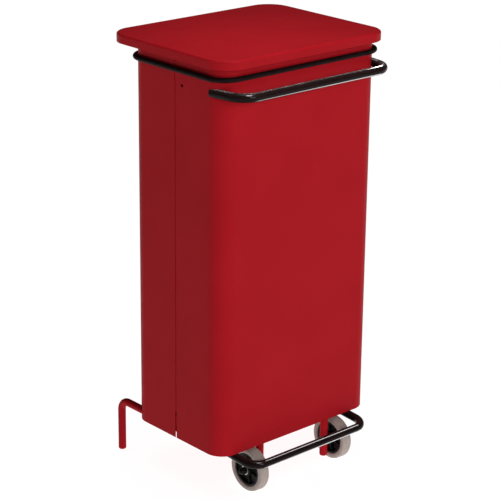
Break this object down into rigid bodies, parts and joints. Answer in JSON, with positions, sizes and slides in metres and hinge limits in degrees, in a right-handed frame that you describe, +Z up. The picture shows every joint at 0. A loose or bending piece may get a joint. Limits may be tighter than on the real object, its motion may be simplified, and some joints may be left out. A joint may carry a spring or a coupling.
{
  "type": "wheeled pedal bin",
  "caption": "Tall steel sack bin with a rear-hinged lid, opened by a front foot pedal through a push rod, on wheels in front and tube feet behind.",
  "frame": {"origin": "middle of the footprint of the whole bin, on the floor", "axes": "+Z up; -Y is the front, with the handle and the pedal; +X is the right side seen from the front"},
  "size_m": [0.3762, 0.337, 0.7795],
  "materials": {
    "red_enamel": "smooth satin stove enamel",
    "black_enamel": "smooth gloss black enamel",
    "zinc_plate": "bright zinc plating",
    "hub_plastic": "moulded black plastic",
    "tyre_rubber": "grey non-marking rubber",
    "black_rubber": "smooth black rubber"
  },
  "bodies": {
    "chassis": {"body_front_shell": "red_enamel", "body_rear_shell": "red_enamel", "floor_pan": "red_enamel", "top_rim": "red_enamel", "sack_band": "black_rubber", "handle_tube": "black_enamel", "handle_insert_left": "zinc_plate", "handle_insert_right": "zinc_plate", "handle_screw_left": "zinc_plate", "handle_screw_right": "zinc_plate", "base_frame_tube": "red_enamel", "foot_cap_left": "red_enamel", "foot_cap_right": "red_enamel", "front_leg_left": "red_enamel", "front_leg_right": "red_enamel", "leg_cap_left": "red_enamel", "leg_cap_right": "red_enamel", "wheel_axle": "zinc_plate", "axle_washer_outer_left": "zinc_plate", "axle_washer_outer_right": "zinc_plate", "axle_washer_inner_left": "zinc_plate", "axle_washer_inner_right": "zinc_plate", "axle_nut_left": "hub_plastic", "axle_nut_right": "hub_plastic", "pivot_bracket_left": "red_enamel", "pivot_bracket_right": "red_enamel", "pedal_pivot_shaft": "zinc_plate", "pivot_shaft_clip_left": "zinc_plate", "pivot_shaft_clip_right": "zinc_plate", "hinge_bracket_left": "red_enamel", "hinge_bracket_right": "red_enamel", "hinge_rivet_low_left": "zinc_plate", "hinge_rivet_low_right": "zinc_plate", "hinge_rivet_high_left": "zinc_plate", "hinge_rivet_high_right": "zinc_plate", "hinge_pin": "zinc_plate", "hinge_pin_clip_left": "zinc_plate", "hinge_pin_clip_right": "zinc_plate"},
    "lid": {"lid_shell": "red_enamel", "lid_hinge_bracket": "red_enamel", "lid_crank": "red_enamel", "lid_buffer_front_left": "black_rubber", "lid_buffer_front_right": "black_rubber", "lid_buffer_rear_left": "black_rubber", "lid_buffer_rear_right": "black_rubber"},
    "pedal": {"pedal_bar": "black_enamel", "pedal_sleeve_left": "black_enamel", "pedal_sleeve_right": "black_enamel", "pedal_cross_bar": "black_enamel", "pedal_lug": "black_enamel"},
    "push_rod": {"push_rod": "zinc_plate", "push_rod_clip_upper": "zinc_plate", "push_rod_clip_lower": "zinc_plate"},
    "wheel_left": {"wheel_hub_left": "hub_plastic", "wheel_tyre_left": "tyre_rubber", "wheel_bush_left": "zinc_plate"},
    "wheel_right": {"wheel_hub_right": "hub_plastic", "wheel_tyre_right": "tyre_rubber", "wheel_bush_right": "zinc_plate"}
  },
  "joints": [
    {"name": "lid_hinge", "type": "hinge", "parent": "chassis", "child": "lid", "pos_m": [0, 0.1525, 0.757], "axis": [-1, 0, 0], "range_deg": [0, 70]},
    {"name": "push_rod_pivot", "type": "hinge", "parent": "lid", "child": "push_rod", "pos_m": [0, 0.13857, 0.74725], "axis": [-1, 0, 0], "range_deg": [-70, 0]},
    {"name": "pedal_pivot", "type": "hinge", "parent": "chassis", "child": "pedal", "pos_m": [0, -0.0335, 0.0898], "axis": [1, 0, 0], "range_deg": [0, 6.5]},
    {"name": "wheel_left_spin", "type": "hinge", "parent": "chassis", "child": "wheel_left", "pos_m": [-0.0996, -0.111, 0.04], "axis": [1, 0, 0], "continuous": true},
    {"name": "wheel_right_spin", "type": "hinge", "parent": "chassis", "child": "wheel_right", "pos_m": [0.0996, -0.111, 0.04], "axis": [1, 0, 0], "continuous": true}
  ],
  "couplings": [
    {"joint": "push_rod_pivot", "follows": "lid_hinge", "ratio": -1},
    {"joint": "pedal_pivot", "follows": "lid_hinge", "ratio": 0.0928}
  ]
}
